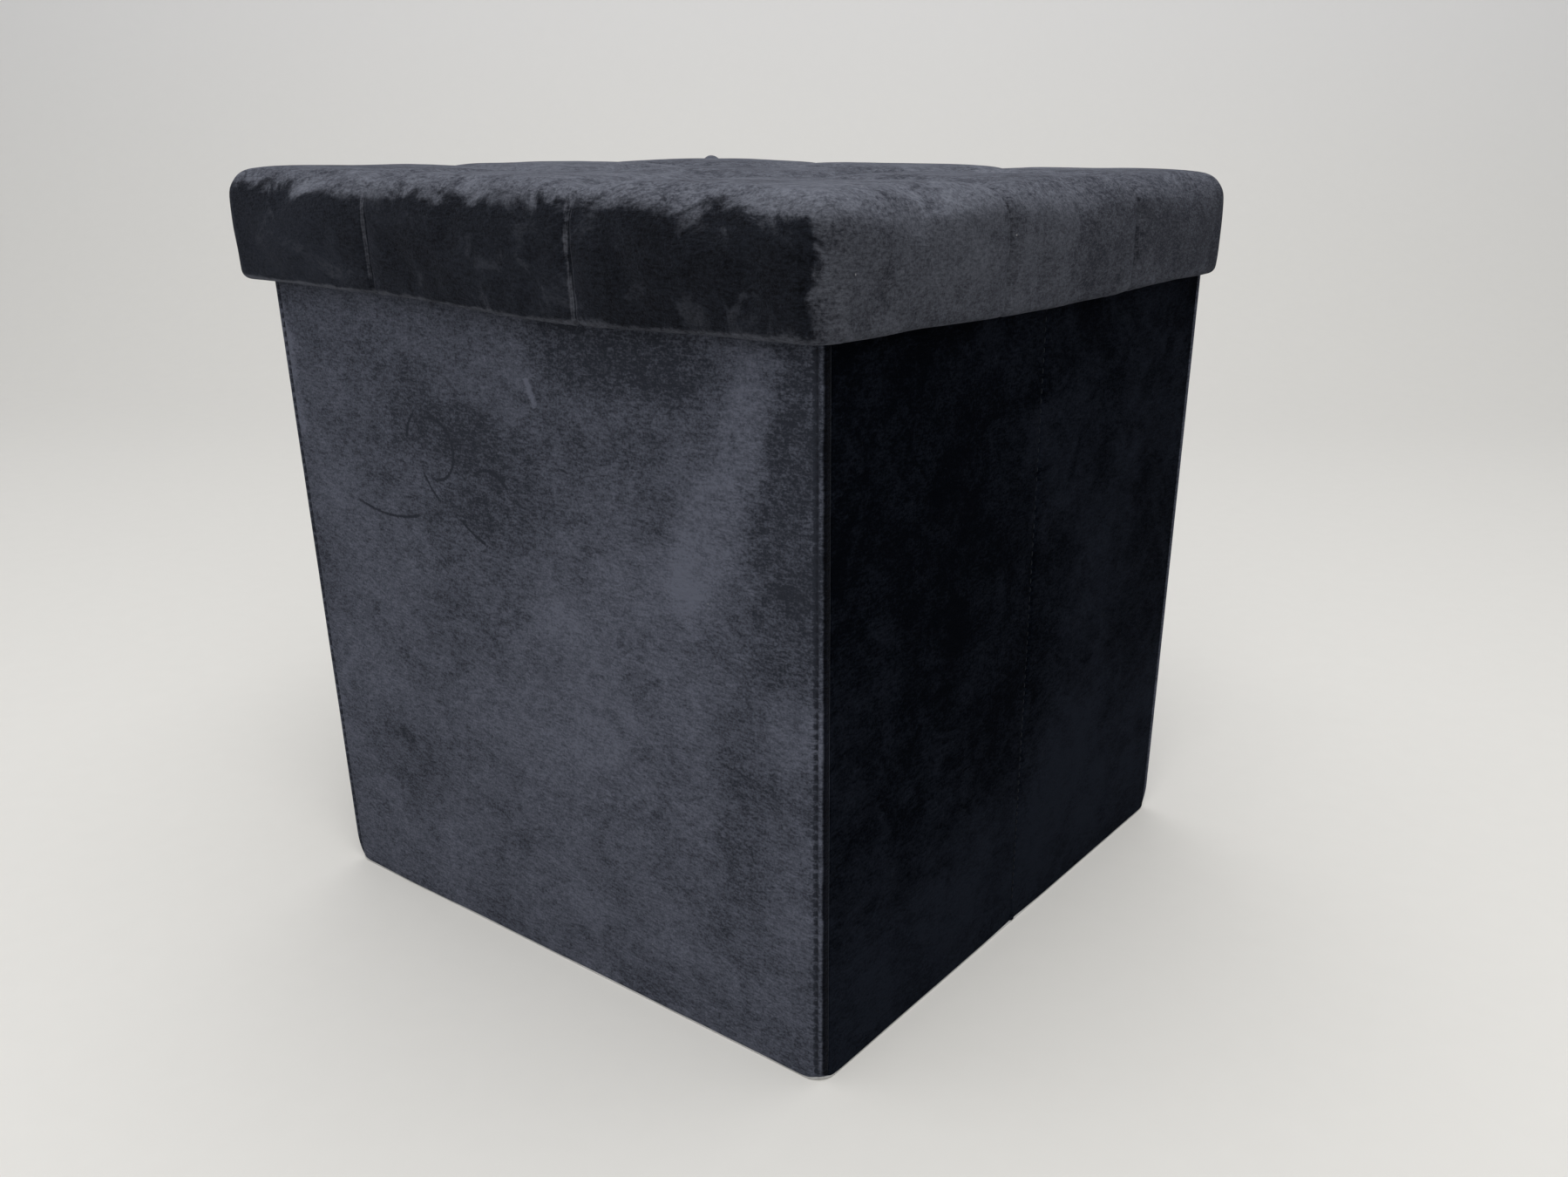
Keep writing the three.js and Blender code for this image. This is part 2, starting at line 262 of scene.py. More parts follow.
class Nodes:
    """Builds one material's node tree with short calls."""

    def __init__(self, name):
        self.material = bpy.data.materials.new(name)
        self.material.use_nodes = True
        self.tree = self.material.node_tree
        self.shader = self.tree.nodes["Principled BSDF"]
        self.place = self.tree.nodes.new("ShaderNodeTexCoord").outputs["Object"]

    def link(self, value, socket):
        if isinstance(value, bpy.types.NodeSocket):
            self.tree.links.new(value, socket)
        else:
            socket.default_value = value

    def math(self, operation, a, b=0.5, clamp=False):
        node = self.tree.nodes.new("ShaderNodeMath")
        node.operation = operation
        node.use_clamp = clamp
        self.link(a, node.inputs[0])
        self.link(b, node.inputs[1])
        return node.outputs[0]

    def vector(self, operation, a, b=(0, 0, 0)):
        node = self.tree.nodes.new("ShaderNodeVectorMath")
        node.operation = operation
        self.link(a, node.inputs[0])
        self.link(b, node.inputs[1])
        return node.outputs["Value"] if operation in ("DOT_PRODUCT", "LENGTH") else node.outputs[0]

    def scale(self, a, factor):
        node = self.tree.nodes.new("ShaderNodeVectorMath")
        node.operation = "SCALE"
        self.link(a, node.inputs[0])
        self.link(factor, node.inputs["Scale"])
        return node.outputs[0]

    def separate(self):
        """The place's X, Y and Z."""
        node = self.tree.nodes.new("ShaderNodeSeparateXYZ")
        self.link(self.place, node.inputs[0])
        return node.outputs

    def cells(self, scale, randomness=1.0):
        node = self.tree.nodes.new("ShaderNodeTexVoronoi")
        node.inputs["Scale"].default_value = scale
        node.inputs["Randomness"].default_value = randomness
        self.link(self.place, node.inputs["Vector"])
        return node.outputs

    def noise(self, scale, detail=2, roughness=0.5, stretch=(1, 1, 1), warp=0.0):
        node = self.tree.nodes.new("ShaderNodeTexNoise")
        self.link(self.vector("MULTIPLY", self.place, stretch), node.inputs["Vector"])
        node.inputs["Scale"].default_value = scale
        node.inputs["Detail"].default_value = detail
        node.inputs["Roughness"].default_value = roughness
        node.inputs["Distortion"].default_value = warp
        return node.outputs["Fac"]

    def ramp(self, value, low, high, out_low=0.0, out_high=1.0):
        """value from low to high, mapped smoothly to out_low to out_high."""
        node = self.tree.nodes.new("ShaderNodeMapRange")
        node.interpolation_type = "SMOOTHSTEP"
        for socket, number in zip(node.inputs, (value, low, high, out_low, out_high)):
            self.link(number, socket)
        return node.outputs[0]

    def mix(self, factor, a, b):
        node = self.tree.nodes.new("ShaderNodeMix")
        node.data_type = "RGBA"
        self.link(factor, node.inputs["Factor"])
        self.link(a, node.inputs["A"])
        self.link(b, node.inputs["B"])
        return node.outputs["Result"]

    def relief(self, height, distance, strength=1.0, under=None):
        node = self.tree.nodes.new("ShaderNodeBump")
        node.inputs["Strength"].default_value = strength
        node.inputs["Distance"].default_value = distance
        self.link(height, node.inputs["Height"])
        if under is not None:
            self.link(under, node.inputs["Normal"])
        return node.outputs["Normal"]

    def set(self, **values):
        for name, value in values.items():
            self.link(value, self.shader.inputs[name.replace("_", " ")])


def rgb(r, g, b):
    return (r, g, b, 1.0)


def shaded(colour, share):
    return tuple(c * share for c in colour[:3]) + (1.0,)


GREY_BLUE = rgb(0.72, 0.78, 1.0)


def lint(nodes):
    """Sparse specks of pale lint."""
    cells = nodes.cells(70)
    speck = nodes.ramp(cells["Distance"], 0.018, 0.042, 1, 0)
    split = nodes.tree.nodes.new("ShaderNodeSeparateColor")
    nodes.link(cells["Color"], split.inputs[0])
    chosen = nodes.math("GREATER_THAN", split.outputs[0], 0.85)
    return nodes.math("MULTIPLY", speck, chosen)


def pile_marks(nodes, height):
    """Small curved creases in the front wall's pile, as (x, z, radius, middle angle, half angle)."""
    arcs = (
        (-60, 263, 15, 0, 128), (-100, 304, 80, 270, 22), (-21, 243, 15, 80, 60),
        (-34, 269, 40, 220, 14), (-7, 278, 60, 242, 12), (-58, 262, 22, 150, 24),
    )
    marks = None
    for x, z, radius, middle, half in arcs:
        away = nodes.vector("SUBTRACT", nodes.place, (x * MM, -HALF_Y, z * MM))
        away = nodes.vector("MULTIPLY", away, (1, 0, 1))
        off = nodes.math("SUBTRACT", nodes.vector("LENGTH", away), radius * MM)
        line = nodes.ramp(nodes.math("ABSOLUTE", off), 0.1 * MM, 1.1 * MM, 1, 0)
        angle = math.radians(middle)
        along = nodes.vector("DOT_PRODUCT", nodes.vector("NORMALIZE", away),
                             (math.cos(angle), 0, math.sin(angle)))
        inside = nodes.ramp(along, math.cos(math.radians(half)), math.cos(math.radians(half * 0.5)))
        mark = nodes.math("MULTIPLY", line, inside)
        marks = mark if marks is None else nodes.math("MAXIMUM", marks, mark)
    return nodes.math("MULTIPLY", marks, height)


def tone_and_painted_light_patches(nodes, patches):
    """Soft lighter or darker patches along segments, as (from, to, half width, amount) in mm. Some are
    random tone in the pile, some painted light and shade.
    """
    total = None
    ragged = nodes.math("MULTIPLY", nodes.math("SUBTRACT", nodes.noise(38, 5, 0.68), 0.5), 1.5)
    for start, end, width, amount in patches:
        start = Vector(start) * MM
        run = Vector(end) * MM - start
        away = nodes.vector("SUBTRACT", nodes.place, tuple(start))
        share = nodes.vector("DOT_PRODUCT", away, tuple(run / max(run.length_squared, MM * MM)))
        share = nodes.math("MAXIMUM", nodes.math("MINIMUM", share, 1.0), 0.0)
        away = nodes.vector("SUBTRACT", away, nodes.scale(tuple(run), share))
        reach = nodes.math("DIVIDE", nodes.vector("LENGTH", away), width * MM)
        reach = nodes.math("ADD", reach, ragged)
        patch = nodes.ramp(reach, 0.3, 1.4, amount, 0.0)
        total = patch if total is None else nodes.math("ADD", total, patch)
    return total


def corner_row_painted_shade(nodes):
    """Painted shade in the dents of the cloth along the stitch rows beside the upright corners, stronger
    once per stitch.
    """
    place = nodes.separate()
    off = nodes.math("SUBTRACT", nodes.math("ABSOLUTE", place["X"]), HALF_X - STITCH_INSET)
    line = nodes.ramp(nodes.math("ABSOLUTE", off), 0.5 * MM, 1.9 * MM, 1, 0)
    wave = nodes.math("SINE", nodes.math("MULTIPLY", place["Z"], 2 * math.pi / STITCH_PITCH))
    return nodes.math("MULTIPLY", line, nodes.ramp(wave, -0.5, 0.6, 0.22, 0.75))


def velvet(name, dark, light, away, painted_shade_side, ragged=0.04, sheen=0.03, gloss=0.04,
           mottle=0.5, top_painted_sheen=1, marks=False, rows=False, patches=()):
    """Short-pile velvet. The pile's lean varies at random, which reads as darker and lighter cloth; listed
    patches add painted light and shade as well.

    Cloth that faces the given side is painted with the away colour as shade, by which way it faces in the
    world. Cloth that faces up can be painted lighter as a sheen.
    """
    n = Nodes(name)
    wide = n.noise(11, 4, 0.6, warp=0.5)
    clouds = n.noise(42, 6, 0.7, stretch=(1, 1, 1.3), warp=0.8)
    flecks = n.noise(170, 5, 0.7, stretch=(1, 1, 1.7))
    grain = n.noise(800, 3, 0.75)
    streaks = n.noise(270, 4, 0.68, stretch=(1, 1, 3.0), warp=0.5)
    lean = n.math("ADD", n.ramp(wide, 0.3, 0.7, -0.25, 0.25), n.ramp(clouds, 0.3, 0.7, -0.35, 0.3))
    lean = n.math("MULTIPLY", lean, mottle)
    for layer, low, high, tone in (
            (flecks, 0.3, 0.7, 0.1), (streaks, 0.35, 0.65, 0.21), (grain, 0.3, 0.7, 0.25)):
        lean = n.math("ADD", lean, n.ramp(layer, low, high, -tone, tone))
    if patches:
        lean = n.math("ADD", lean, tone_and_painted_light_patches(n, patches))
    factor = n.math("ADD", lean, 0.5, clamp=True)
    # Painted shade along the corner stitch rows.
    if rows:
        factor = n.math("SUBTRACT", factor, corner_row_painted_shade(n), clamp=True)
    if marks:
        factor = n.math("SUBTRACT", factor, pile_marks(n, 0.7), clamp=True)
    colour = n.mix(factor, dark, light)
    # Painted shade: cloth turned towards the given side takes the darker away colour.
    normal = n.tree.nodes.new("ShaderNodeNewGeometry").outputs["Normal"]
    turn = n.vector("DOT_PRODUCT", normal, painted_shade_side)
    turn = n.math("ADD", turn, n.ramp(clouds, 0.35, 0.65, ragged, -ragged))
    painted_shade_share = n.ramp(turn, 0.62 + ragged, 0.88 + 0.6 * ragged)
    # Painted sheen: cloth that faces up is made lighter.
    if top_painted_sheen > 1:
        upward = n.vector("DOT_PRODUCT", normal, (0, 0, 1))
        colour = n.scale(colour, n.ramp(upward, 0.1, 0.9, 1.0, top_painted_sheen))
    colour = n.mix(painted_shade_share, colour, n.mix(factor, shaded(away, 0.25), shaded(away, 2.1)))
    colour = n.mix(n.math("MULTIPLY", lint(n), 0.6), colour, rgb(0.35, 0.35, 0.36))
    rise = n.math("ADD", n.math("MULTIPLY", streaks, 0.8), n.math("MULTIPLY", grain, 0.35))
    relief = n.relief(rise, 1.6 * MM, 0.8)
    relief = n.relief(clouds, 2 * MM, 0.2, under=relief)
    n.set(Base_Color=colour, Roughness=0.95, Normal=relief)
    n.set(Specular_IOR_Level=gloss)
    n.set(Sheen_Weight=sheen, Sheen_Roughness=0.45, Sheen_Tint=GREY_BLUE)
    return n.material


def nonwoven(name, colour, shade):
    """Spun-bonded cloth: matt, with a fine grid of pressed dots."""
    n = Nodes(name)
    pressed = n.ramp(n.cells(520, 0.15)["Distance"], 0.15, 0.4)
    fibres = n.noise(700, 4, 0.7, stretch=(1, 3, 1), warp=1.2)
    clouds = n.noise(30, 3, 0.6)
    factor = n.math("ADD", n.math("MULTIPLY", pressed, 0.45), n.math("MULTIPLY", fibres, 0.35))
    factor = n.math("ADD", factor, n.ramp(clouds, 0.3, 0.7, -0.15, 0.15), clamp=True)
    height = n.math("ADD", n.math("MULTIPLY", pressed, 0.7), n.math("MULTIPLY", fibres, 0.3))
    n.set(Base_Color=n.mix(factor, shade, colour), Roughness=n.ramp(fibres, 0.3, 0.7, 0.78, 0.95))
    n.set(Normal=n.relief(height, 0.25 * MM, 0.6), Specular_IOR_Level=0.25)
    return n.material


def fibreboard():
    """Raw hardboard: brown felted fibre."""
    n = Nodes("fibreboard")
    fibres = n.noise(420, 6, 0.7, stretch=(1, 1, 0.35), warp=1.5)
    blotches = n.noise(35, 4, 0.6)
    factor = n.math("ADD", n.math("MULTIPLY", fibres, 0.7), n.math("MULTIPLY", blotches, 0.4), clamp=True)
    n.set(Base_Color=n.mix(factor, rgb(0.16, 0.095, 0.05), rgb(0.42, 0.29, 0.17)))
    n.set(Roughness=n.ramp(fibres, 0.3, 0.7, 0.6, 0.85), Normal=n.relief(fibres, 0.2 * MM, 0.5))
    return n.material


def thread(name, colour):
    """Twisted polyester thread."""
    n = Nodes(name)
    twist = n.noise(1800, 2, 0.5, stretch=(1, 1, 2), warp=0.5)
    n.set(Base_Color=n.mix(twist, colour, shaded(colour, 1.9)))
    n.set(Roughness=0.7, Normal=n.relief(twist, 0.15 * MM, 0.5), Specular_IOR_Level=0.1)
    return n.material


# Front wall patches as ((x, z), (x, z), half width, amount). The dark ones along the top, just under the
# lid's overhang, are painted shade; the light one along the soft fold's ridge is a painted highlight, with
# painted shade in the hollow beside it; the thin light one by the left edge is a painted highlight on the
# ridge there. The rest are random tone in the pile.
FRONT_FACE = (
    ((-100, 265), (-20, 262), 42, -0.2), ((-140, 95), (-105, 85), 28, -0.16),
    ((30, 322), (100, 318), 20, -0.3), ((162, 320), (158, 205), 24, -0.32),
    ((146, 318), (103, 225), 14, 0.34), ((100, 220), (92, 120), 26, 0.12),
    ((-60, 60), (40, 190), 60, 0.14), ((135, 160), (135, 60), 22, -0.14),
    ((-160, 322), (-120, 318), 16, -0.2), ((-170, 320), (-166, 262), 4, 0.3),
    ((11, 303), (15, 293), 2, 0.6), ((-108, 96), (-112, 100), 5, -0.35),
)
FRONT_PATCHES = [((x0, -175, z0), (x1, -175, z1), width, amount)
                 for (x0, z0), (x1, z1), width, amount in FRONT_FACE]
# These paint the sides' shade darker at the top and lighter towards the bottom.
SIDE_PATCHES = (
    ((175, -150, 300), (175, -60, 180), 110, -0.4), ((175, 60, 330), (175, 150, 330), 45, -0.2),
    ((175, -150, 20), (175, 160, 60), 60, 0.3), ((175, 30, 200), (175, 60, 60), 50, 0.15),
    ((-175, -150, 20), (-175, 160, 60), 60, 0.3),
)
# Lid patches: the right side is painted lighter at the front and darker towards the back, as shade; the
# light ones on the front are random tone in the pile.
LID_PATCHES = (
    ((184, -180, 350), (184, 20, 350), 24, 0.06), ((184, 20, 350), (184, 180, 350), 26, -0.26),
    ((-195, -184, 350), (-120, -184, 350), 30, 0.3), ((-20, -184, 345), (60, -184, 340), 18, 0.15),
)
# The same black velvet in lit and shaded copies. The near-black colour below is painted shade, used on the
# sides and on the fronts' turned returns. The front and back are charcoal, black lifted by a painted sheen.
# The lid is painted shade on its front and a painted sheen on top.
SIDE_PAINTED_SHADE = rgb(0.0022, 0.0029, 0.0052)
velvet_front = velvet("velvet_front", rgb(0.023, 0.026, 0.035), rgb(0.115, 0.124, 0.161), SIDE_PAINTED_SHADE,
                      (1, 0, 0), marks=True, rows=True, patches=FRONT_PATCHES)
velvet_back = velvet("velvet_back", rgb(0.023, 0.026, 0.035), rgb(0.104, 0.113, 0.148), SIDE_PAINTED_SHADE,
                     (-1, 0, 0), rows=True)
velvet_side_painted_shade = velvet("velvet_side_painted_shade", rgb(0.0010, 0.0016, 0.0030), rgb(0.0102, 0.0128, 0.0195), SIDE_PAINTED_SHADE,
                     (0, 0, 1), sheen=0.0, gloss=0.01, mottle=0.8, patches=SIDE_PATCHES)
velvet_lid = velvet("velvet_lid", rgb(0.015, 0.016, 0.021), rgb(0.078, 0.083, 0.100),
                    rgb(0.0068, 0.0080, 0.0112), (0, -1, 0), ragged=0.11, sheen=0.07, mottle=0.6,
                    top_painted_sheen=2.1, patches=LID_PATCHES)
black_nonwoven = nonwoven("black_nonwoven", rgb(0.035, 0.035, 0.038), rgb(0.012, 0.012, 0.013))
pale_nonwoven = nonwoven("pale_nonwoven", rgb(0.62, 0.62, 0.61), rgb(0.42, 0.42, 0.42))
board_material = fibreboard()
# The fold stitches on the sides get a darker copy of the thread, painted shade to match the sides.
side_thread_painted_shade = thread("side_thread_painted_shade", rgb(0.006, 0.0072, 0.010))
dark_thread = thread("dark_thread", rgb(0.010, 0.011, 0.016))
grey_thread = thread("grey_thread", rgb(0.014, 0.016, 0.022))


def dress(piece, material):
    piece.data.materials.clear()
    piece.data.materials.append(material)


# ---- walls ----

def lower_edge(corner_distance):
    """The velvet's hem curls up a little towards each corner."""
    near = np.clip(1 - np.asarray(corner_distance) / FOOT_REACH, 0, 1)
    return HEM_Z + FOOT_RISE * near ** 2


def wall_rows(top):
    """Heights of a wall's rows, as shares of the way from the hem to top."""
    heights = [h for h in spread(0, top, ROW_STEP) if h > 11 * MM]
    return [h / top for h in LOW_ROWS + heights]


def over_the_top():
    """(inward share, height below the top) along the velvet's way over the wall and down inside."""
    steps = []
    radius = TOP_ROUND / WALL_DEPTH
    for angle in np.linspace(0, math.pi / 2, 5)[1:]:
        steps.append((radius * (1 - math.cos(angle)), TOP_ROUND * (1 - math.sin(angle))))
    steps.append((0.5, 0.0))
    for angle in np.linspace(0, math.pi / 2, 5):
        steps.append((1 - radius * (1 - math.sin(angle)), TOP_ROUND * (1 - math.cos(angle))))
    turn_in = WALL_TOP - LINING_TOP
    steps += [(1.0, turn_in * share) for share in (0.3, 0.55, 0.8, 1.0)]
    return steps


def long_wall_path():
    """The velvet's way round a long wall in plan, from its right return to its left one."""
    half = [(HALF_X, -y) for y in np.linspace(RETURN_END, HALF_Y - CORNER_RADIUS, 4)[:-1]]
    start = HALF_X - CORNER_RADIUS
    half += [(start + CORNER_RADIUS * math.cos(a), CORNER_RADIUS - HALF_Y + CORNER_RADIUS * math.sin(a))
             for a in np.linspace(0, -math.pi / 2, 9)]
    stitch = HALF_X - STITCH_INSET
    close = [stitch - d * MM for d in (0.0, 0.35, 0.75, 1.3, 2.0, 3.0, 4.5)]
    half += [(x, -HALF_Y) for x in close]
    half += [(x, -HALF_Y) for x in reversed(spread(0, close[-1], 2.7 * MM)[:-1])]
    left = [(-x, y) for x, y in reversed(half[:-1])]
    return np.array(half + left)


def rounded(path, radius):
    """The path with its corners rounded to a larger radius."""
    core = np.array([HALF_X - radius, HALF_Y - radius])
    size, sign = np.abs(path), np.sign(path)
    away = size - core
    length = np.maximum(np.hypot(away[:, 0], away[:, 1]), 1e-9)
    in_corner = (away > 0).all(axis=1)
    moved = sign * (core + away * (radius / length)[:, None])
    return np.where(in_corner[:, None], moved, path)


def long_wall_cover(name, half_turn, material, extra):
    """Velvet round one long wall. extra(x, z) is how far its face stands out."""
    plain = long_wall_path()
    foot = rounded(plain, FOOT_RADIUS)
    count = len(plain)
    corner_distance = np.hypot(HALF_X - np.abs(foot[:, 0]), HALF_Y - np.abs(foot[:, 1]))
    hem = lower_edge(corner_distance)
    on_face = np.clip((HALF_X - np.abs(plain[:, 0])) / (6 * MM), 0, 1)
    rows = []
    top = WALL_TOP - TOP_ROUND
    # the hem's turned edge, then the face
    for inward, lift in HEM_TURN:
        share = inward / HALF_X
        rows.append(np.column_stack([foot * (1 - share), hem + lift]))
    for share in wall_rows(top - HEM_Z):
        z = hem + (top - hem) * share
        blend = np.clip(1 - (z - HEM_Z) / FOOT_HEIGHT, 0, 1) ** 2
        xy = plain * (1 - blend[:, None]) + foot * blend[:, None]
        face = np.column_stack([xy, z])
        groove = bump(np.abs(plain[:, 0]) - (HALF_X - STITCH_INSET), 1.1 * MM)
        groove = groove * (np.abs(plain[:, 1]) > HALF_Y - 0.1 * MM) * np.clip((z - HEM_Z) / (6 * MM), 0, 1)
        out = np.array([extra(p[0], p[2]) for p in face]) * on_face
        face[:, 1] += 1.2 * MM * groove - out
        rows.append(face)
    inner = np.column_stack([np.clip(plain[:, 0], -INNER_X, INNER_X), np.full(count, -INNER_Y)])
    for inward, drop in over_the_top():
        xy = plain * (1 - inward) + inner * inward
        rows.append(np.column_stack([xy, np.full(count, WALL_TOP - drop)]))
    points = turned(np.vstack(rows), half_turn)
    piece = make_piece(name, points, grid_faces(len(rows), count))
    thicken(piece, VELVET)
    dress(piece, material)
    return piece


def fold_line(z):
    """Where the fold's groove runs: it leans a little."""
    return -FOLD_LEAN * z / WALL_TOP


def side_cover(name, half_turn, material):
    """Velvet over both halves of a side, with the stitched fold groove down its middle."""
    end = SIDE_END + 0.6 * MM
    near = (0.4 * MM, FOLD_REACH, 1.1 * MM, 1.7 * MM, 2.5 * MM, 3.6 * MM)
    ys = np.array(spread(-end, end, 3 * MM, (0.0,), near)[::-1])
    ends = np.array([end - 0.25 * MM, end - 0.6 * MM, end - 1.2 * MM])
    ys = np.unique(np.concatenate([ys, ends, -ends]))[::-1]
    edge = np.clip((end - np.abs(ys)) / (1.2 * MM), 0, 1)
    tuck = 0.5 * MM * (1 - np.sqrt(1 - (1 - edge) ** 2))
    hem = lower_edge(HALF_Y - np.abs(ys))
    middle = np.clip(1 - np.abs(ys) / (40 * MM), 0, 1)
    top = WALL_TOP - TOP_ROUND
    rows = []
    for inward, lift in HEM_TURN:
        rows.append(np.column_stack([np.full(len(ys), HALF_X - inward) - tuck, ys, hem + lift]))
    for share in wall_rows(top - HEM_Z):
        z = hem + (top - hem) * share
        line = bump(ys - fold_line(z), GROOVE_WIDTH)
        low = np.clip(1 - z / (0.5 * WALL_TOP), 0, 1)
        foot = np.clip(1 - (z - HEM_Z) / FOOT_HEIGHT, 0, 1) ** 2 * np.clip(
            1 - (HALF_Y - np.abs(ys)) / FOOT_RADIUS, 0, 1) ** 2 * 2.5 * MM
        wave = 0.35 * MM * soft_noise(np.column_stack([np.zeros(len(ys)), ys, z]), 60 * MM, 7.0)
        x = HALF_X - tuck - FOLD_DEPTH * line - 0.8 * MM * low * middle ** 2 - foot + wave * edge
        rows.append(np.column_stack([x, ys, z]))
    apart = np.abs(ys) > FOLD_REACH + 0.1 * MM
    for number, (inward, drop) in enumerate(over_the_top()):
        line = bump(ys - fold_line(WALL_TOP), GROOVE_WIDTH)
        start = HALF_X - tuck - FOLD_DEPTH * line
        over = start + (INNER_X - start) * inward
        dip = start - 0.1 * MM * number
        x = np.where(apart, over, dip)
        z = np.where(apart, WALL_TOP - drop, WALL_TOP - TOP_ROUND - 0.05 * MM * number)
        rows.append(np.column_stack([x, ys, z]))
    points = turned(np.vstack(rows), half_turn)
    piece = make_piece(name, points, grid_faces(len(rows), len(ys)))
    thicken(piece, VELVET)
    dress(piece, material)
    return piece


SOFT_FOLD_TOP = (149 * MM, 0, 325 * MM)
SOFT_FOLD_END = (108 * MM, 0, 225 * MM)
HOLLOW = (158 * MM, 0, 285 * MM)


def slack(x, z):
    """How far the front wall's velvet stands out.

    It has soft waves, one fold from the top right corner with a hollow beside it, and a thin ridge
    by the left edge.
    """
    point = Vector((x, 0, z))
    wave = 0.55 * MM * noise.noise(point / (75 * MM) + Vector((3, 3, 3)))
    wave += 0.22 * MM * noise.noise(point / (28 * MM) + Vector((9, 9, 9)))
    high, low = Vector(SOFT_FOLD_TOP), Vector(SOFT_FOLD_END)
    along = max(0.0, min(1.0, (point - high).dot(low - high) / (low - high).length_squared))
    away = (point - high - (low - high) * along).length
    wave += 1.5 * MM * math.exp(-(away / (9 * MM + 14 * MM * along)) ** 2) * (1 - along) ** 0.7
    hollow = (point - Vector(HOLLOW)).length
    wave -= 0.7 * MM * math.exp(-(hollow / (22 * MM)) ** 2)
    streak = abs(x + 167 * MM + (325 * MM - z) * -0.06)
    wave += 0.7 * MM * math.exp(-(streak / (2.2 * MM)) ** 2) * max(0.0, 1 - abs(z - 300 * MM) / (45 * MM))
    return wave


def back_slack(x, z):
    point = Vector((x, 0, z))
    return (0.55 * MM * noise.noise(point / (70 * MM) + Vector((21, 21, 21)))
            + 0.2 * MM * noise.noise(point / (26 * MM) + Vector((5, 5, 5))))


def blend_middle(piece):
    """Bakes a side's piece's place into its mesh."""
    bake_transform(piece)


def make_sleeve():
    front = long_wall_cover("front_velvet_cover", False, velvet_front, slack)
    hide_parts("front_velvet")
    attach(front, "front_wall")
    back = long_wall_cover("back_velvet_cover", True, velvet_back, back_slack)
    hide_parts("back_velvet")
    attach(back, "back_wall")
    for side, half_turn in (("right", False), ("left", True)):
        cover = side_cover(f"{side}_velvet_cover", half_turn, velvet_side_painted_shade)
        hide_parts(f"{side}_rear_velvet", f"{side}_front_velvet")
        blend_middle(cover)


# ---- corner gussets ----

def gusset(name, sign_x, sign_y):
    """A strip of velvet behind the slit at a corner."""
    ys = np.linspace(RETURN_END + 0.9 * MM, SIDE_END - 0.9 * MM, 13)
    zs = spread(WALL_LOW, WALL_TOP - 2 * TOP_ROUND, 12 * MM)
    points = []
    for z in zs:
        points += [(sign_x * (HALF_X - 1.0 * MM), sign_y * y, z) for y in ys]
    faces = grid_faces(len(zs), len(ys))
    if sign_x * sign_y < 0:
        faces = [tuple(reversed(f)) for f in faces]
    piece = make_piece(name, points, faces)
    thicken(piece, THIN_CLOTH)
    dress(piece, velvet_side_painted_shade)
    return piece


def make_gussets():
    for side, sign in (("right", 1), ("left", -1)):
        rear = gusset(f"{side}_rear_gusset", sign, 1)
        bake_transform(rear)
        front = gusset(f"{side}_front_gusset", sign, -1)
        if side == "right":
            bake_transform(front)
        else:
            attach(front, "front_wall")


# ---- linings ----

def lining_sheet(name, wall, place, low_end, high_end, seed):
    """A wall's lining. place(a, depth, z) turns a place along the wall and a depth into a point."""
    low, high = WALL_LOW + 0.3 * MM, LINING_TOP + 1.5 * MM
    along = spread(low_end, high_end, LINING_STEP)
    up = spread(low, high, LINING_STEP)
    points = []
    for z in up:
        for a in along:
            puff = 0.2 * MM * noise.noise(Vector((a, seed, z)) / (38 * MM))
            points.append(place(a, 0.15 * MM + puff, z))
    piece = make_piece(name, points, grid_faces(len(up), len(along)))
    thicken(piece, THIN_CLOTH)
    dress(piece, black_nonwoven)
    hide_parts(name.replace("_cloth", ""))
    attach(piece, wall)


def make_linings():
    half_x = INNER_X - 0.3 * MM
    near_fold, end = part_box("right_rear_lining")[0].y, SIDE_END - 0.2 * MM
    lining_sheet("front_lining_cloth", "front_wall", lambda a, d, z: (a, -INNER_Y - LINING_AIR + d, z),
                 -half_x, half_x, 1.0)
    lining_sheet("back_lining_cloth", "back_wall", lambda a, d, z: (-a, INNER_Y + LINING_AIR - d, z),
                 -half_x, half_x, 2.0)
    for side, sign in (("right", 1), ("left", -1)):
        for part, low, high in (("rear", near_fold, end), ("front", -end, -near_fold)):
            ends = (low, high) if side == "right" else (-high, -low)
            lining_sheet(f"{side}_{part}_lining_cloth", f"{side}_{part}_panel",
                         lambda a, d, z: (sign * (INNER_X + LINING_AIR - d), sign * a, z), *ends, 3.0 + sign)


# ---- stitches ----

